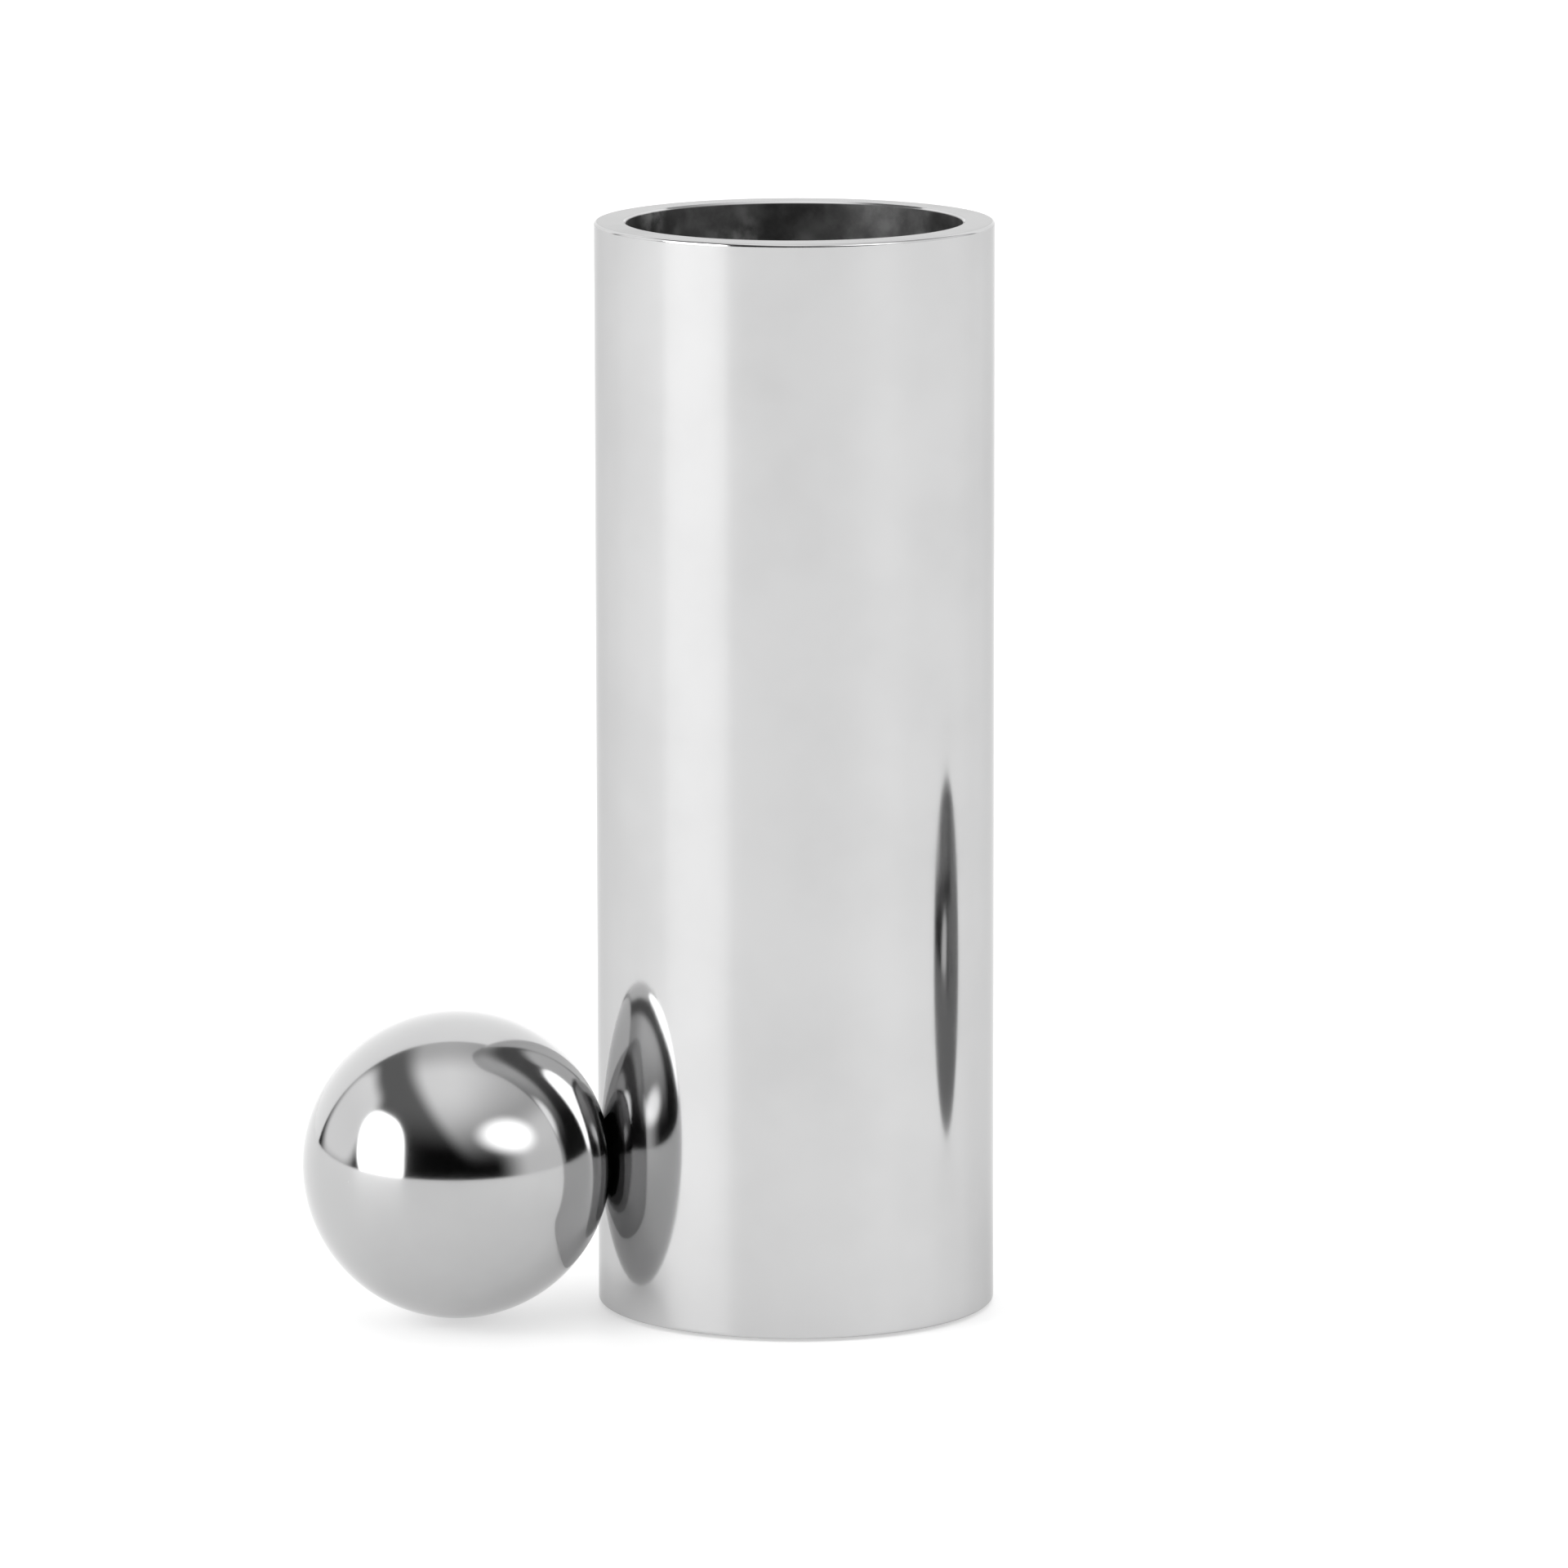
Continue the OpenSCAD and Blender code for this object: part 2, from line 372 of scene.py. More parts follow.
def ball_surface(s, screw_radius, hole_end):
    """The ball, from the bottom of its blind hole, along the hole, over the saddle that fits the tube
    and round the sphere to its far side. At an angle a round the ball's axis the saddle is
    x = -sqrt(tube radius squared - (across cos a) squared), and the sphere is across = radius sin t."""
    a = turns(s.ball_columns)[None]

    def saddle(across):
        return -np.sqrt(TUBE_RADIUS ** 2 - (across * np.cos(a)) ** 2)

    inner, outer = np.zeros_like(a), np.full_like(a, BALL_RADIUS * 0.6)
    for _ in range(40):
        middle = (inner + outer) / 2
        cut = BALL_X + np.sqrt(BALL_RADIUS ** 2 - middle ** 2) > saddle(middle)
        inner, outer = np.where(cut, middle, inner), np.where(cut, outer, middle)
    edge = (inner + outer) / 2
    hole = np.full_like(a, screw_radius)
    lead = 0.25 * MM
    down = np.linspace(0, 1, 6)[1:-1, None]
    hole_across = np.concatenate([hole * 0.5, hole, hole + 0 * down, hole, hole + lead])
    hole_x = np.concatenate([
        np.full_like(a, hole_end), np.full_like(a, hole_end),
        hole_end + (saddle(hole) - hole_end) * down, saddle(hole) - lead, saddle(hole + lead)])
    out = np.linspace(0, 1, 6)[1:, None]
    seat_across = hole + lead + (edge - hole - lead) * out
    start = np.arcsin(edge / BALL_RADIUS)
    t = start + (np.pi - start) * np.linspace(0, 1, s.ball_rows)[1:-1, None]
    across = np.concatenate([hole_across, seat_across, BALL_RADIUS * np.sin(t)])
    x = np.concatenate([hole_x, saddle(seat_across), BALL_X + BALL_RADIUS * np.cos(t)])
    poles = ((hole_end, 0, BALL_Z), (BALL_X - BALL_RADIUS, 0, BALL_Z))
    return face_ball(across, x, a), poles


def hexagon(width, angle):
    """Radius of a hexagon at an angle: half its width over the cosine of the angle from a flat."""
    sixth = np.pi / 3
    return width / 2 / np.cos((angle + sixth / 2) % sixth - sixth / 2)


def screw_surface(s):
    """The cap screw, from the bottom of its key hole, over its knurled head and down its thread.
    Depths run from the head's free face. The thread's radius drops by a groove whose place along the
    screw moves one pitch in a turn: depth over pitch plus angle over a full turn."""
    head_face, tip = high("ball_screw").x, low("ball_screw").x
    head, shank = high("ball_screw").z - BALL_Z, s.screw_diameter / 2
    total = head_face - tip
    columns = 4 * s.knurl_ridges
    a = turns(columns)[None]
    one = np.ones_like(a)
    key = hexagon(s.key_width, a)
    lead, edge = 0.15 * MM, 0.4 * MM
    rows = [
        (key * 0.5, s.key_depth + 0.6 * MM), (key, s.key_depth), (key, lead), (key + lead, 0.0),
        ((key + lead) * 0.5 + (head - edge) * 0.5, 0.0), ((head - edge) * one, 0.0), (head * one, edge)]
    ridge = np.abs(((np.arange(columns) % 4) - 2) / 2)[None]
    knurled = head - s.knurl_depth * ridge
    rows += [(knurled, edge * 1.6), (knurled, s.head_height - edge * 1.6)]
    rows += [(head * one, s.head_height - edge), ((head - edge / 2) * one, s.head_height)]
    fillet = outline([
        (head - edge, s.head_height, 0), (shank, s.head_height, 0.3 * MM),
        (shank, s.head_height + 0.6 * MM, 0)], closed=False)
    rows += [(r * one, d) for r, d in fillet]
    start = s.head_height + 0.8 * MM
    turn_count = (total - start) / s.pitch
    depth = np.linspace(start, total - 0.02 * MM, int(turn_count * 12))[:, None]
    place = np.abs((depth / s.pitch + a / (2 * np.pi)) % 1 - 0.5) * 2
    groove = s.thread_depth * np.clip(1.15 - 1.3 * place, 0, 1)
    fade = np.clip((depth - start) / s.pitch, 0, 1)
    chamfer = shank - s.thread_depth * 1.1 + total - depth
    thread = np.minimum(shank - groove * fade, chamfer)
    across = np.concatenate([r for r, _ in rows] + [thread])
    deep = np.concatenate([d * one for _, d in rows] + [depth * one])
    poles = ((head_face - s.key_depth - 1.2 * MM, 0, BALL_Z), (tip, 0, BALL_Z))
    return face_ball(across, head_face - deep, a), poles


def lock_washer_surface(s):
    """The split washer: a rounded square section carried round the screw, from one face of the split
    to the other. The split's faces are parallel, so the angle at each is asin(half the gap / across)."""
    near, far = high("lock_washer").x, low("lock_washer").x
    inner = s.screw_diameter / 2 + s.washer_clearance
    outer = high("lock_washer").y
    edge = 0.12 * MM
    across, x = outline([
        (inner, near, edge), (outer, near, edge), (outer, far, edge), (inner, far, edge)], steps=3,
        margin=0.05 * MM).T
    opening = np.arcsin(s.washer_gap / 2 / across)[None]
    along = np.linspace(0, 1, 97)[:, None]
    angle = np.pi / 2 + opening + (2 * np.pi - 2 * opening) * along
    grid = face_ball(across[None] + 0 * along, x[None] + 0 * along, angle)
    return grid, (grid[0].mean(axis=0), grid[-1].mean(axis=0))


def saddle_washer_surface(s):
    """The saddle washer: x runs from its flat face to the bore's curve, -sqrt(bore radius squared -
    y squared), as the second number of its outline runs from 0 to 1."""
    a = turns(120)[None]
    flat = high("saddle_washer").x
    inner = s.screw_diameter / 2 + s.washer_clearance
    outer = high("saddle_washer").z - BALL_Z
    edge = 0.1 * MM
    corners = [(inner, 0, edge), (outer, 0, edge), (outer, MM, edge), (inner, MM, edge)]
    across, share = outline(corners, steps=3)[:, :, None].transpose(1, 0, 2)
    across = across + 0 * a
    curve = -np.sqrt(BORE_RADIUS ** 2 - (across * np.cos(a)) ** 2)
    return face_ball(across, flat + (curve - flat) * share / MM, a)


def felt_surface(s):
    """The felt disc: a revolved outline whose points are moved by even random amounts, inwards at its
    faces and its edge alike, so that it stays within its cut size."""
    bottom, top = low("foot_pad").z, high("foot_pad").z
    radius = high("foot_pad").x
    spread = np.linspace(0, 1, 72)[1:-1]
    rim = outline([
        (0, bottom, 0), (radius, bottom, 0.3 * MM), (radius, top, 0.15 * MM), (0, top, 0)],
        closed=False, steps=4)[2:-2]
    under = np.stack([radius * spread[:-2], np.full(len(spread) - 2, bottom)], axis=1)
    over = under[::-1] + (0, top - bottom)
    grid = revolve(np.concatenate([under, rim, over]), 320)
    fuzz = np.random.default_rng(11).random((2,) + grid.shape[:2])
    middle = (bottom + top) / 2
    inwards = np.sign(middle - grid[..., 2])
    at_edge = (np.hypot(grid[..., 0], grid[..., 1]) / radius) ** 12
    grid[..., 2] += inwards * s.felt_ripple * fuzz[0]
    grid[..., :2] *= (1 - s.felt_fray / radius * fuzz[1] * at_edge)[..., None]
    return grid, ((0, 0, bottom), (0, 0, top))


# ---------------------------------------------------------------- finishes


class Value:
    """One output of a node tree. Arithmetic on it adds Math nodes to the tree."""

    def __init__(self, tree, socket):
        self.tree, self.socket = tree, socket

    def maths(self, operation, *values):
        """A Math node of that operation on the given values."""
        return self.tree.node("ShaderNodeMath", {"operation": operation}, dict(enumerate(values)))

    def __add__(self, other):
        return self.maths("ADD", self, other)

    __radd__ = __add__

    def __sub__(self, other):
        return self.maths("SUBTRACT", self, other)

    def __rsub__(self, other):
        return self.maths("SUBTRACT", other, self)

    def __mul__(self, other):
        return self.maths("MULTIPLY", self, other)

    __rmul__ = __mul__

    def __truediv__(self, other):
        return self.maths("DIVIDE", self, other)

    def __pow__(self, other):
        return self.maths("POWER", self, other)

    def sine(self):
        """The sine of the value."""
        return self.maths("SINE", self)

    def over(self, start, end):
        """0 up to the start, 1 from the end on, and a smooth rise between them."""
        return self.tree.node(
            "ShaderNodeMapRange", {"interpolation_type": "SMOOTHSTEP", "clamp": True},
            {"Value": self, "From Min": start, "From Max": end})

    def under(self, start, end):
        """1 up to the start, 0 from the end on, and a smooth fall between them."""
        return 1 - self.over(start, end)


class Tree:
    """A node tree being filled."""

    def __init__(self, nodes, links):
        self.nodes, self.links = nodes, links
        nodes.clear()

    def node(self, kind, settings=None, values=None, out=0):
        """Adds a node, sets it up, fills or links its sockets, and gives one of its outputs."""
        made = self.nodes.new(kind)
        for key, setting in (settings or {}).items():
            setattr(made, key, setting)
        for key, value in (values or {}).items():
            if isinstance(value, Value):
                self.links.new(value.socket, made.inputs[key])
            else:
                made.inputs[key].default_value = value
        return Value(self, made.outputs[out]) if len(made.outputs) else made

    def parts(self, vector):
        """The x, y and z of a vector."""
        split = self.node("ShaderNodeSeparateXYZ", None, {0: vector}).socket.node
        return [Value(self, socket) for socket in split.outputs]

    def mix(self, factor, first, second):
        """A colour between two colours."""
        return self.node("ShaderNodeMix", {"data_type": "RGBA"}, {0: factor, 6: first, 7: second}, 2)

    def noise(self, vector, scale, detail=2.0, rough=0.5):
        """Noise of a number of features per metre, about 0.5."""
        return self.node("ShaderNodeTexNoise", {"noise_dimensions": "3D"}, {
            "Vector": vector, "Scale": scale, "Detail": detail, "Roughness": rough})

    def stretch(self, vector, scale):
        """A vector multiplied by another."""
        return self.node("ShaderNodeVectorMath", {"operation": "MULTIPLY"}, {0: vector, 1: scale})

    def join(self, x, y, z):
        """A vector from three values."""
        return self.node("ShaderNodeCombineXYZ", None, {0: x, 1: y, 2: z})

    def along(self, vector, direction):
        """How far a vector runs along a direction."""
        return self.node("ShaderNodeVectorMath", {"operation": "DOT_PRODUCT"}, {
            0: vector, 1: direction}, "Value")


class Finish(Tree):
    """A material being made."""

    def __init__(self, name):
        self.material = bpy.data.materials.new(name)
        self.material.use_nodes = True
        super().__init__(self.material.node_tree.nodes, self.material.node_tree.links)
        self.place = self.node("ShaderNodeTexCoord", out="Object")

    def bump(self, height_mm):
        """A normal from a height in millimetres."""
        return self.node("ShaderNodeBump", None, {
            "Strength": 1.0, "Distance": MM, "Height": height_mm}, "Normal")

    def close(self, **sockets):
        """Ends in a Principled surface. Names are its sockets', with _ for a space."""
        values = {key.replace("_", " "): value for key, value in sockets.items()}
        surface = self.node("ShaderNodeBsdfPrincipled", None, values)
        self.node("ShaderNodeOutputMaterial", None, {"Surface": surface})
        return self.material


def shade(rgb, factor=1.0):
    """A settings colour, scaled, with its alpha."""
    return (*(min(1.0, c * factor) for c in rgb), 1.0)


def pits(tree, scale, size):
    """1 inside small round pits scattered at about a number per metre, and 0 outside them."""
    near = tree.node("ShaderNodeTexVoronoi", {"feature": "F1"}, {
        "Vector": tree.place, "Scale": scale, "Randomness": 1.0}, "Distance")
    return near.under(size * 0.4, size)


def hairlines(tree, direction):
    """Fine scratches that run along one direction: noise squeezed across it and drawn out along it."""
    squeezed = tree.stretch(tree.place, direction)
    return tree.noise(squeezed, 1.0, 2.0, 0.6)


def polish_marks(tree):
    """What polishing leaves: wiping haze, crossed hairlines, a fine grain and a slow wave."""
    haze = tree.noise(tree.place, 55.0, 4.0, 0.55)
    lines = hairlines(tree, (2600.0, 2600.0, 130.0)) + hairlines(tree, (160.0, 2400.0, 2400.0))
    grain = tree.noise(tree.place, 3200.0, 1.0)
    wave = tree.noise(tree.place, 42.0, 1.0)
    return haze, lines, grain, wave


def polished_steel(s):
    """Mirror-polished steel for the ball: nearly clear reflections, a little haze and a few pits. Its
    colour is set darker than the tube's steel, as painted shade.
    """
    f = Finish("polished_steel")
    haze, lines, grain, wave = polish_marks(f)
    pit = pits(f, 130.0, 0.012)
    height = wave * 0.004 + lines * 0.00006 + grain * 0.00012 - pit * 0.01
    return f.close(
        # painted shade: the ball's colour is the darker, shaded copy of the polished steel
        Base_Color=f.mix(haze.over(0.35, 0.75), shade(s.ball), shade(s.ball, 0.94)),
        Metallic=1.0,
        Roughness=haze.over(0.4, 0.8) * 0.05 + pit * 0.3 + s.polish,
        Normal=f.bump(height))


def tube_steel(s):
    """The tube's steel: polished outside, faced on the lathe at its two ends, and left dull, dark and
    mottled in its bore. The end faces also take a darker colour, which is painted shade. The radius
    and the height of a point tell the three apart."""
    f = Finish("tube_steel")
    haze, lines, grain, wave = polish_marks(f)
    x, y, z = f.parts(f.place)
    radius = (x * x + y * y) ** 0.5
    bore = radius.under(BORE_RADIUS + 0.02 * MM, BORE_RADIUS + 0.12 * MM)
    ends = z.over(TUBE_MOUTH - 0.02 * MM, TUBE_MOUTH - 0.005 * MM)
    ends = ends + z.under(TUBE_FOOT + 0.005 * MM, TUBE_FOOT + 0.02 * MM)
    rings = f.noise(f.join(radius * 9000.0, 0.0, z * 200.0), 1.0, 2.0)
    pit = pits(f, 70.0, 0.008)
    mottle = f.noise(f.place, 240.0, 5.0, 0.65)
    bloom = f.noise(f.place, 60.0, 3.0, 0.6).over(0.48, 0.7) * mottle.over(0.42, 0.62)
    skin_colour = f.mix(haze.over(0.35, 0.75), shade(s.tube), shade(s.tube, 0.95))
    # painted shade: the tube's two end faces take a darker copy of its steel colour
    skin_colour = f.mix(ends, skin_colour, shade(s.tube, 0.64))
    bore_colour = f.mix(mottle.over(0.3, 0.7), shade(s.bore, 0.7), shade(s.bore, 1.15))
    bore_colour = f.mix(bloom, bore_colour, shade(s.bore, 3.4))
    polished = wave * 0.005 + lines * 0.00006 + grain * 0.00016 - pit * 0.012
    height = polished * (1 - bore) + rings * ends * 0.0012 + mottle * bore * 0.02
    roughness = haze.over(0.4, 0.8) * 0.05 + pit * 0.3 + ends * 0.1 + s.polish
    return f.close(
        Base_Color=f.mix(bore, skin_colour, bore_colour),
        Metallic=1.0,
        Specular_Tint=shade(s.tube_edge),
        Roughness=roughness * (1 - bore) + (mottle * 0.3 + 0.28) * bore,
        Normal=f.bump(height))


def spun_steel(s):
    """Satin steel with fine rings round the upright axis, as left by spinning and a pad."""
    f = Finish("spun_steel")
    x, y, z = f.parts(f.place)
    radius = (x * x + y * y) ** 0.5
    wander = f.noise(f.place, 25.0, 2.0)
    rings = f.noise(f.join(radius * 7000.0 + wander * 3.0, 0.0, z * 7000.0), 1.0, 3.0, 0.6)
    smudge = f.noise(f.place, 90.0, 4.0, 0.6)
    return f.close(
        Base_Color=f.mix(smudge.over(0.3, 0.75), shade(s.spun), shade(s.spun, 0.86)),
        Metallic=1.0,
        Roughness=rings * 0.14 + smudge * 0.1 + 0.2,
        Normal=f.bump(rings * 0.0022))


def turned_steel(s):
    """Bare steel as it leaves the lathe: even tool marks that run round the upright axis."""
    f = Finish("turned_steel")
    x, y, z = f.parts(f.place)
    radius = (x * x + y * y) ** 0.5
    marks = ((radius + z) * (2 * math.pi / (0.22 * MM))).sine()
    stain = f.noise(f.place, 120.0, 4.0, 0.6)
    fine = f.noise(f.join(radius * 12000.0, 0.0, z * 12000.0), 1.0, 2.0)
    return f.close(
        Base_Color=f.mix(stain.over(0.35, 0.7), shade(s.turned), shade(s.turned, 0.78)),
        Metallic=1.0,
        Roughness=stain * 0.2 + fine * 0.12 + 0.22,
        Normal=f.bump(marks * 0.0035 + fine * 0.0015))


def black_steel(s):
    """Blackened steel: an oiled oxide with a fine grain, rubbed brighter where it is raised."""
    f = Finish("black_steel")
    grain = f.noise(f.place, 2600.0, 3.0, 0.6)
    worn = f.noise(f.place, 420.0, 4.0, 0.7)
    raised = f.node("ShaderNodeNewGeometry", out="Pointiness").over(0.52, 0.6)
    return f.close(
        Base_Color=f.mix(raised * worn.over(0.35, 0.65), shade(s.black), shade(s.black, 5.0)),
        Metallic=1.0,
        Roughness=worn * 0.2 + 0.3,
        Normal=f.bump(grain * 0.003))


def zinc_steel(s):
    """Zinc plating: a cool grey with faint crystals of slightly different tones."""
    f = Finish("zinc_steel")
    cells = f.node("ShaderNodeTexVoronoi", {"feature": "F1"}, {
        "Vector": f.place, "Scale": 900.0, "Randomness": 1.0}, "Color")
    tone = f.parts(cells)[0]
    grain = f.noise(f.place, 3000.0, 2.0)
    return f.close(
        Base_Color=f.mix(tone, shade(s.zinc, 0.85), shade(s.zinc, 1.1)),
        Metallic=1.0,
        Roughness=tone * 0.12 + grain * 0.1 + 0.26,
        Normal=f.bump(grain * 0.003))


def felt_cloth(s):
    """Pressed wool: matted fibres at two scales, with a little lint on top."""
    f = Finish("felt_cloth")
    swirl = f.noise(f.place, 700.0, 3.0, 0.6)
    bent = f.node("ShaderNodeVectorMath", {"operation": "MULTIPLY_ADD"}, {
        0: f.node("ShaderNodeTexNoise", None, {"Vector": f.place, "Scale": 260.0}, "Color"),
        1: (0.004, 0.004, 0.004), 2: f.place})
    fibres = hairlines(f, (5200.0, 900.0, 2400.0)) * 0.5
    strands = f.noise(f.stretch(bent, (900.0, 5600.0, 2400.0)), 1.0, 3.0, 0.7)
    mat = fibres + strands * 0.5
    lint = f.noise(f.stretch(bent, (3000.0, 700.0, 3000.0)), 1.0, 2.0).over(0.68, 0.76)
    tone = f.mix(mat.over(0.35, 0.65), shade(s.felt, 0.6), shade(s.felt, 1.7))
    return f.close(
        Base_Color=f.mix(lint, tone, shade(s.felt, 5.0)),
        Roughness=0.95,
        Sheen_Weight=0.35,
        Sheen_Roughness=0.5,
        Normal=f.bump(mat * 0.12 + swirl * 0.08))


# ---------------------------------------------------------------- studio


class StageSettings(bpy.types.PropertyGroup):
    """The camera and the studio."""
    turn: bpy.props.FloatProperty(
        name="Camera turn", description="Turn of the camera round the tube, from straight ahead",
        default=math.radians(-14.0), subtype="ANGLE", unit="ROTATION")
    rise: bpy.props.FloatProperty(
        name="Camera rise", description="Angle at which the camera looks down",
        default=math.radians(9.77), subtype="ANGLE", unit="ROTATION")
    roll: bpy.props.FloatProperty(
        name="Camera roll", description="Roll of the camera", default=math.radians(-0.1),
        subtype="ANGLE", unit="ROTATION")
    distance: length("Camera distance", "From the camera to the point it looks at", 1293.1, 100.0, 9000.0)
    aim_side: length("Aim to the side", "How far the point it looks at lies beside the tube", -1.41, -99.0)
    aim_height: length("Aim height", "Height of the point it looks at", 66.2)
    lens: bpy.props.FloatProperty(
        name="Lens", description="Focal length for a 36 mm sensor, in millimetres", default=236.2)
    neighbour_radius: length("Neighbour radius", "Radius of the unseen ball to the right", 24.5)
    neighbour_side: length("Neighbour side", "How far that ball stands to the right", 138.0)
    neighbour_front: length("Neighbour front", "How far that ball stands towards the camera", -1.0, -99.0)
    floor_radius: length("Floor radius", "Radius of the floor", 4000.0, 500.0, 9000.0)
    floor_grey: fraction("Floor", "Grey of the floor", 0.58)
    floor_glow: fraction("Floor glow", "Light that the floor gives off", 0.48)


def camera_axes(s):
    """The camera's right, up and back, in the frame. Back is (sin turn cos rise, -cos turn cos rise,
    sin rise), right is level, and the roll turns right and up about back."""
    turn, rise, roll = s.turn, s.rise, s.roll
    back = Vector((math.sin(turn) * math.cos(rise), -math.cos(turn) * math.cos(rise), math.sin(rise)))
    right = Vector((math.cos(turn), math.sin(turn), 0.0))
    up = back.cross(right)
    return (
        right * math.cos(roll) + up * math.sin(roll), up * math.cos(roll) - right * math.sin(roll), back)


def make_camera(s):
    """The camera, at the view's distance behind the point it looks at."""
    right, up, back = camera_axes(s)
    level = Vector((math.cos(s.turn), math.sin(s.turn), 0.0))
    place = level * s.aim_side + Vector((0, 0, s.aim_height)) + back * s.distance
    data = bpy.data.cameras.new("camera")
    data.lens, data.sensor_width = s.lens, SENSOR_WIDTH
    data.clip_start, data.clip_end = 0.01, 50.0
    camera = bpy.data.objects.new("camera", data)
    axes = Matrix((right, up, back)).transposed()
    camera.matrix_world = Matrix.Translation(place) @ axes.to_4x4()
    bpy.context.scene.collection.objects.link(camera)
    bpy.context.scene.camera = camera


def make_floor(s):
    """A round, pale, nearly matt floor that the holder stands on, which gives off some light."""
    radius = s.floor_radius * np.array([0.01, 0.04, 0.15, 0.5, 1.0])
    grid = revolve(np.stack([radius, np.zeros(5)], axis=1), 96)
    ids = np.arange(grid.shape[0] * grid.shape[1]).reshape(grid.shape[:2])
    mesh = bpy.data.meshes.new("floor")
    points = np.concatenate([grid.reshape(-1, 3), [(0, 0, 0)]])
    faces = quads_between(ids[:-1], ids[1:]).reshape(-1, 4).tolist()
    mesh.from_pydata(points.tolist(), [], fan(len(points) - 1, ids[0]).tolist() + faces)
    floor = bpy.data.objects.new("floor", mesh)
    bpy.context.scene.collection.objects.link(floor)
    f = Finish("floor_paper")
    tone = f.noise(f.place, 6.0, 3.0)
    grey = s.floor_grey
    paper = f.close(
        Base_Color=f.mix(tone, (grey, grey, grey, 1.0), (grey * 0.98, grey * 0.98, grey * 0.98, 1.0)),
        Roughness=0.5,
        Specular_IOR_Level=0.07,
        Emission_Color=(1.0, 1.0, 1.0, 1.0),
        Emission_Strength=s.floor_glow)
    mesh.materials.append(paper)


def make_neighbour(s):
    """A dark polished ball that stands on the floor to the right. The camera doesn't see it, and it
    shows only where the metal mirrors it. At an angle t from its lowest point it is radius sin t
    across and radius (1 - cos t) high."""
    radius, across, ahead = s.neighbour_radius, s.neighbour_side, s.neighbour_front
    x = math.cos(s.turn) * across + math.sin(s.turn) * ahead
    y = math.sin(s.turn) * across - math.cos(s.turn) * ahead
    around = turns(48)[None]
    t = np.pi * np.linspace(0, 1, 26)[1:-1, None]
    grid = np.stack([
        x + radius * np.sin(t) * np.cos(around), y + radius * np.sin(t) * np.sin(around),
        radius * (1 - np.cos(t)) + 0 * around], axis=-1)
    ball = skin("neighbour_ball", grid, poles=((x, y, 0), (x, y, 2 * radius)), sharp=180)
    ball.visible_camera = False
    ball.visible_shadow = False
    ball.visible_diffuse = False
    f = Finish("dark_polish")
    ball.data.materials.append(f.close(Base_Color=(0.16, 0.16, 0.16, 1.0), Metallic=1.0, Roughness=0.12))


def make_lamp(name, turn, rise, distance, size, watts, view_turn):
    """A square lamp that faces the holder from a turn to the camera's side and a rise, in degrees.
    It isn't mirrored, since the metal mirrors the room instead."""
    data = bpy.data.lights.new(name, "AREA")
    data.size = size
    data.energy = watts
    lamp = bpy.data.objects.new(name, data)
    a = view_turn + math.radians(turn)
    e = math.radians(rise)
    away = Vector((math.sin(a) * math.cos(e), -math.cos(a) * math.cos(e), math.sin(e)))
    lamp.location = LAMP_AIM + away * distance
    lamp.rotation_euler = away.to_track_quat("Z", "Y").to_euler()
    lamp.visible_camera = False
    lamp.visible_glossy = False
    bpy.context.scene.collection.objects.link(lamp)


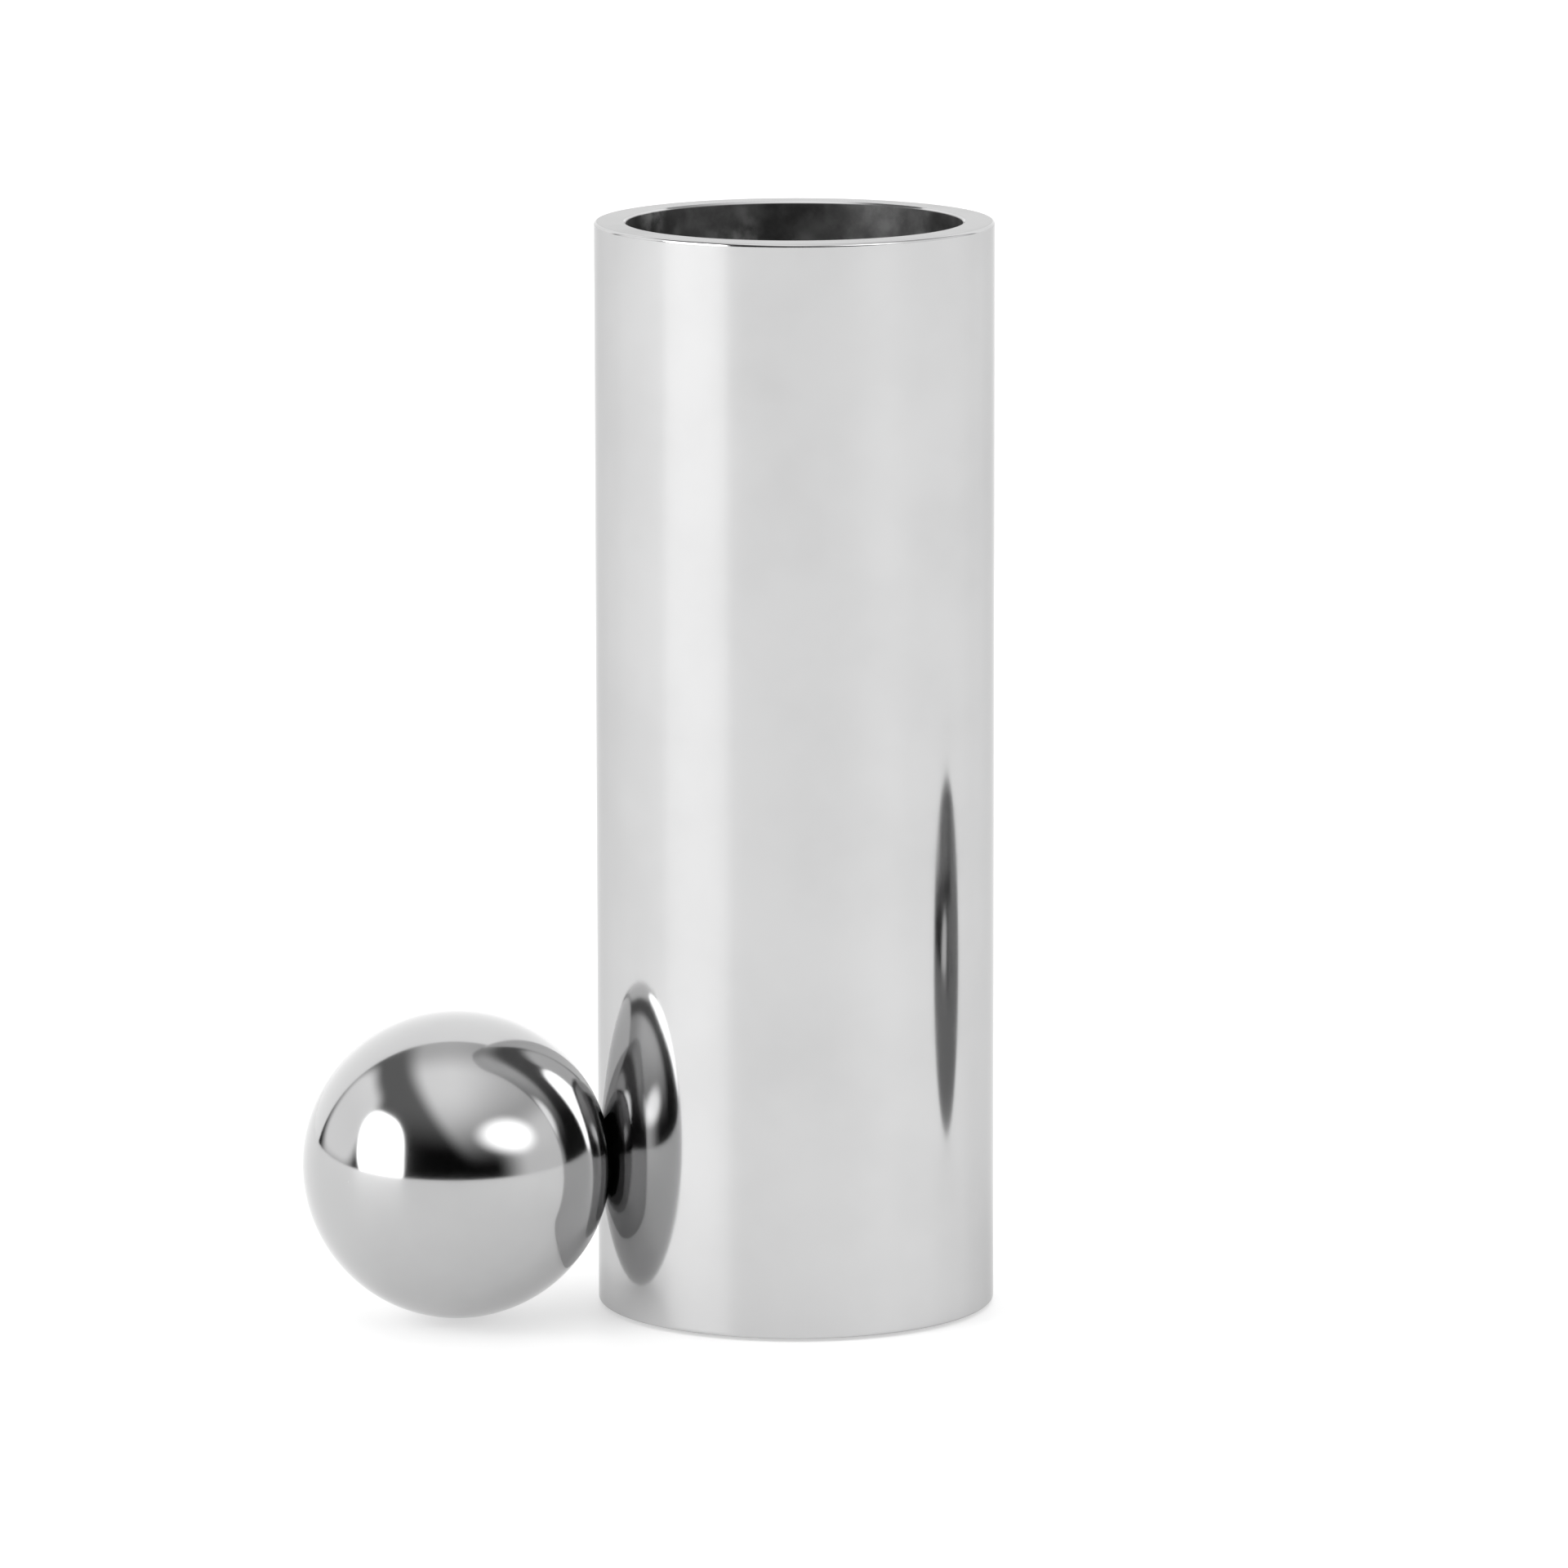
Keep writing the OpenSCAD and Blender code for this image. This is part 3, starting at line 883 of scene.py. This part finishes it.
def make_room(s):
    """The light that the metal mirrors, as a world: a white backdrop behind the holder, a grey room
    with dark corners on the camera's side, a bright window, a bright oval and a glow from below.
    Directions are measured along the camera's level back, its right and up. The camera itself sees
    plain white."""
    world = bpy.data.worlds.new("studio")
    world.use_nodes = True
    bpy.context.scene.world = world
    t = Tree(world.node_tree.nodes, world.node_tree.links)
    way = t.node("ShaderNodeTexCoord", out="Generated")
    turn = s.turn
    front = t.along(way, (math.sin(turn), -math.cos(turn), 0.0))
    side = t.along(way, (math.cos(turn), math.sin(turn), 0.0))
    up = t.along(way, (0.0, 0.0, 1.0))

    def patch(azimuth, elevation, half_width, half_height, soft, square=2.0, lean=0.0):
        """A soft-edged oval in a direction: its distance is the root of the sum of powers of the
        sideways and upward sines over their half sizes. A higher power makes it more square, and a
        lean moves its upper end sideways."""
        a, e = math.radians(azimuth), math.radians(elevation)
        level = front * math.cos(a) + side * math.sin(a)
        ahead = level * math.cos(e) + up * math.sin(e)
        rise = (up * math.cos(e) - level * math.sin(e)) / math.sin(math.radians(half_height))
        across = (side * math.cos(a) - front * math.sin(a)) / math.sin(math.radians(half_width))
        across = across + rise * lean
        far = ((across * across) ** (square / 2) + (rise * rise) ** (square / 2)) ** (1 / square)
        return far.under(1 - soft, 1 + soft) * ahead.over(0.0, 0.1)

    behind = up * 0.2 - front * 0.98
    backdrop = behind.over(0.6, 0.62)
    lit = (side * 0.75 + up * 0.66).over(0.19, 0.4)
    shaded = (1 - behind.over(0.05, 0.5) * 0.4) * (1 - side.over(-0.1, 0.6) * 0.3)
    ceiling = lit * up.over(0.12, 1.0) * shaded * 1.35
    haze = (1 - lit) * up.over(0.3, 0.8) * 0.2
    right_wall = patch(85.0, 10.0, 38.0, 27.0, soft=0.3, square=4.0)
    right_wall = right_wall * (1 - ceiling.over(0.0, 1.0))
    left_wall = patch(-103.0, 21.0, 20.0, 22.0, soft=0.2, square=4.0)
    window = patch(-60.5, 14.0, 20.5, 23.5, soft=0.06, square=2.6, lean=0.25)
    oval = patch(45.0, 28.5, 17.5, 11.0, soft=0.5, lean=0.25)
    left_light, window_light, oval_light, backdrop_light, floor_light = 1.25, 4.5, 2.4, 1.35, 1.14
    room = ceiling + haze + right_wall + left_wall * left_light + 0.003
    room = room * (1 - window) + window * window_light
    room = room + oval * oval_light
    room = room * (1 - backdrop) + backdrop * backdrop_light
    room = room * up.over(-0.03, 0.0) + up.under(-0.03, 0.0) * floor_light
    seen = t.node("ShaderNodeLightPath", out="Is Camera Ray")
    light = t.node("ShaderNodeBackground", None, {"Color": t.join(room, room, room), "Strength": 1.0})
    plain = t.node("ShaderNodeBackground", None, {"Color": (1, 1, 1, 1), "Strength": 1.0})
    both = t.node("ShaderNodeMixShader", None, {0: seen, 1: light, 2: plain})
    t.node("ShaderNodeOutputWorld", None, {"Surface": both})


# ---------------------------------------------------------------- operators


def settle(piece, finish, body, node):
    """Gives a piece its finish, hangs it on its body's empty and hides the frame's part that it stands
    for.
    """
    piece.data.materials.append(finish)
    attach(piece, body)
    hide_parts(node)


class MakeTube(bpy.types.Operator):
    """Makes the polished tube"""
    bl_idname = "candle_holder.tube"
    bl_label = "Tube"

    def execute(self, context):
        s = context.scene.candle_holder
        points, faces = tube_surface(s.tube, s.fastening.screw_diameter / 2)
        piece = new_piece("polished_tube", points, faces)
        settle(piece, tube_steel(s.finish), "holder", "tube")
        return {"FINISHED"}


class MakeBall(bpy.types.Operator):
    """Makes the polished ball that stands beside the tube's foot"""
    bl_idname = "candle_holder.ball"
    bl_label = "Ball"

    def execute(self, context):
        s = context.scene.candle_holder
        hole_end = low("ball_screw").x - s.tube.hole_run_out
        grid, poles = ball_surface(s.tube, s.fastening.screw_diameter / 2, hole_end)
        piece = skin("polished_ball", grid, poles=poles)
        settle(piece, polished_steel(s.finish), "holder", "ball")
        return {"FINISHED"}


class MakeScrew(bpy.types.Operator):
    """Makes the cap screw that holds the ball from inside the tube"""
    bl_idname = "candle_holder.screw"
    bl_label = "Ball screw"

    def execute(self, context):
        s = context.scene.candle_holder
        grid, poles = screw_surface(s.fastening)
        piece = skin("cap_screw", grid, poles=poles)
        settle(piece, black_steel(s.finish), "holder", "ball_screw")
        return {"FINISHED"}


class MakeWashers(bpy.types.Operator):
    """Makes the split lock washer and the saddle washer under the screw's head"""
    bl_idname = "candle_holder.washers"
    bl_label = "Washers"

    def execute(self, context):
        s = context.scene.candle_holder
        grid, poles = lock_washer_surface(s.fastening)
        lock = skin("split_lock_washer", grid, poles=poles)
        settle(lock, zinc_steel(s.finish), "holder", "lock_washer")
        saddle = skin("curved_saddle_washer", saddle_washer_surface(s.fastening), along=True)
        settle(saddle, turned_steel(s.finish), "holder", "saddle_washer")
        return {"FINISHED"}


class MakeInsert(bpy.types.Operator):
    """Makes the lift-out insert: the pan and the socket that hangs in it"""
    bl_idname = "candle_holder.insert"
    bl_label = "Candle insert"

    def execute(self, context):
        s = context.scene.candle_holder
        metal, lip = s.insert.metal, s.insert.lip_round
        bottom, wall_top, outer = low("wax_pan").z, high("wax_pan").z, high("wax_pan").x
        socket_outer, floor = SOCKET_RADIUS + metal, bottom + metal
        edge = 0.12 * MM
        pan_profile = outline([
            (socket_outer, bottom, edge), (outer, bottom, s.insert.pan_bend), (outer, wall_top, lip),
            (outer - metal, wall_top, lip), (outer - metal, floor, s.insert.pan_bend - metal),
            (socket_outer, floor, edge)], steps=8)
        finish = spun_steel(s.finish)
        pan = skin("spun_pan", revolve(pan_profile, s.insert.columns), along=True)
        settle(pan, finish, "candle_insert", "wax_pan")
        foot, flange_top = low("taper_socket").z, high("taper_socket").z
        flange, hole = high("taper_socket").x, s.insert.push_hole / 2
        socket_profile = outline([
            (hole, foot, edge), (socket_outer, foot, s.insert.socket_bend),
            (socket_outer, floor, 0), (flange, floor, edge), (flange, flange_top, lip),
            (SOCKET_RADIUS, flange_top, lip), (SOCKET_RADIUS, foot + metal, 2 * edge),
            (hole, foot + metal, edge)], steps=8)
        socket = skin("taper_candle_socket", revolve(socket_profile, s.insert.columns), along=True)
        settle(socket, finish, "candle_insert", "taper_socket")
        return {"FINISHED"}


class MakeSeatRing(bpy.types.Operator):
    """Makes the ring in the bore that carries the candle insert"""
    bl_idname = "candle_holder.seat_ring"
    bl_label = "Seat ring"

    def execute(self, context):
        s = context.scene.candle_holder
        bottom, top = low("seat_ring").z, high("seat_ring").z
        inner = BORE_RADIUS - s.insert.ring_ledge
        edge = 0.25 * MM
        profile = outline([
            (inner, bottom, edge), (BORE_RADIUS, bottom, edge), (BORE_RADIUS, top, edge),
            (inner, top, edge)])
        piece = skin("turned_seat_ring", revolve(profile, s.insert.columns), along=True)
        settle(piece, turned_steel(s.finish), "holder", "seat_ring")
        return {"FINISHED"}


class MakeBase(bpy.types.Operator):
    """Makes the plug that closes the foot and the felt pad under it"""
    bl_idname = "candle_holder.base"
    bl_label = "Base"

    def execute(self, context):
        s = context.scene.candle_holder
        bottom, top = low("base_plug").z, high("base_plug").z
        cut, mark = s.base.plug_chamfer, s.base.centre_mark
        profile = outline([
            (0, bottom, 0), (BORE_RADIUS - cut, bottom, 0), (BORE_RADIUS, bottom + cut, 0),
            (BORE_RADIUS, top - cut, 0), (BORE_RADIUS - cut, top, 0), (mark, top, 0),
            (0, top - mark, 0)], closed=False)[1:-1]
        poles = ((0, 0, bottom), (0, 0, top - mark))
        plug = skin("turned_base_plug", revolve(profile, s.tube.columns), poles=poles)
        settle(plug, turned_steel(s.finish), "holder", "base_plug")
        grid, poles = felt_surface(s.base)
        pad = skin("felt_foot_pad", grid, poles=poles, sharp=180)
        settle(pad, felt_cloth(s.finish), "holder", "foot_pad")
        return {"FINISHED"}


class MakeStage(bpy.types.Operator):
    """Makes the camera, the floor, the unseen ball beside it, the room and the lamps"""
    bl_idname = "candle_holder.stage"
    bl_label = "Stage"

    def execute(self, context):
        s = context.scene.candle_holder.stage
        context.scene.view_settings.view_transform = "Standard"
        make_camera(s)
        make_floor(s)
        make_neighbour(s)
        make_room(s)
        make_lamp("overhead_lamp", 0.0, 89.0, distance=3.0, size=6.0, watts=20.0, view_turn=s.turn)
        make_lamp("side_lamp", -60.0, 38.0, distance=2.0, size=0.7, watts=6.0, view_turn=s.turn)
        return {"FINISHED"}


OPERATORS = (
    MakeTube, MakeBall, MakeScrew, MakeWashers, MakeInsert, MakeSeatRing, MakeBase, MakeStage)


class HolderPanel(bpy.types.Panel):
    """Lists the pieces of the candle holder"""
    bl_idname = "VIEW3D_PT_candle_holder"
    bl_label = "Candle Holder"
    bl_space_type = "VIEW_3D"
    bl_region_type = "UI"
    bl_category = "Candle Holder"

    def draw(self, context):
        for operator in OPERATORS:
            self.layout.operator(operator.bl_idname)


class HolderSettings(bpy.types.PropertyGroup):
    """All the settings of the candle holder."""
    tube: bpy.props.PointerProperty(name="Tube and ball", type=TubeSettings)
    fastening: bpy.props.PointerProperty(name="Screw and washers", type=FasteningSettings)
    insert: bpy.props.PointerProperty(name="Candle insert", type=InsertSettings)
    base: bpy.props.PointerProperty(name="Base", type=BaseSettings)
    finish: bpy.props.PointerProperty(name="Finishes", type=FinishSettings)
    stage: bpy.props.PointerProperty(name="Stage", type=StageSettings)


CLASSES = (
    TubeSettings, FasteningSettings, InsertSettings, BaseSettings, FinishSettings, StageSettings,
    HolderSettings, *OPERATORS, HolderPanel)


def register():
    """Registers the classes and puts the settings on the scene."""
    for item in CLASSES:
        bpy.utils.register_class(item)
    bpy.types.Scene.candle_holder = bpy.props.PointerProperty(name="Candle holder", type=HolderSettings)


def unregister():
    """Takes the settings off the scene and unregisters the classes."""
    del bpy.types.Scene.candle_holder
    for item in reversed(CLASSES):
        bpy.utils.unregister_class(item)


def plain(box):
    """A box as plain lists of numbers."""
    return [[float(n) for n in point] for point in box]


def main():
    """Makes every piece and the stage."""
    register()
    for operator in OPERATORS:
        group, name = operator.bl_idname.split(".")
        getattr(getattr(bpy.ops, group), name)()


if __name__ == "__main__":
    main()
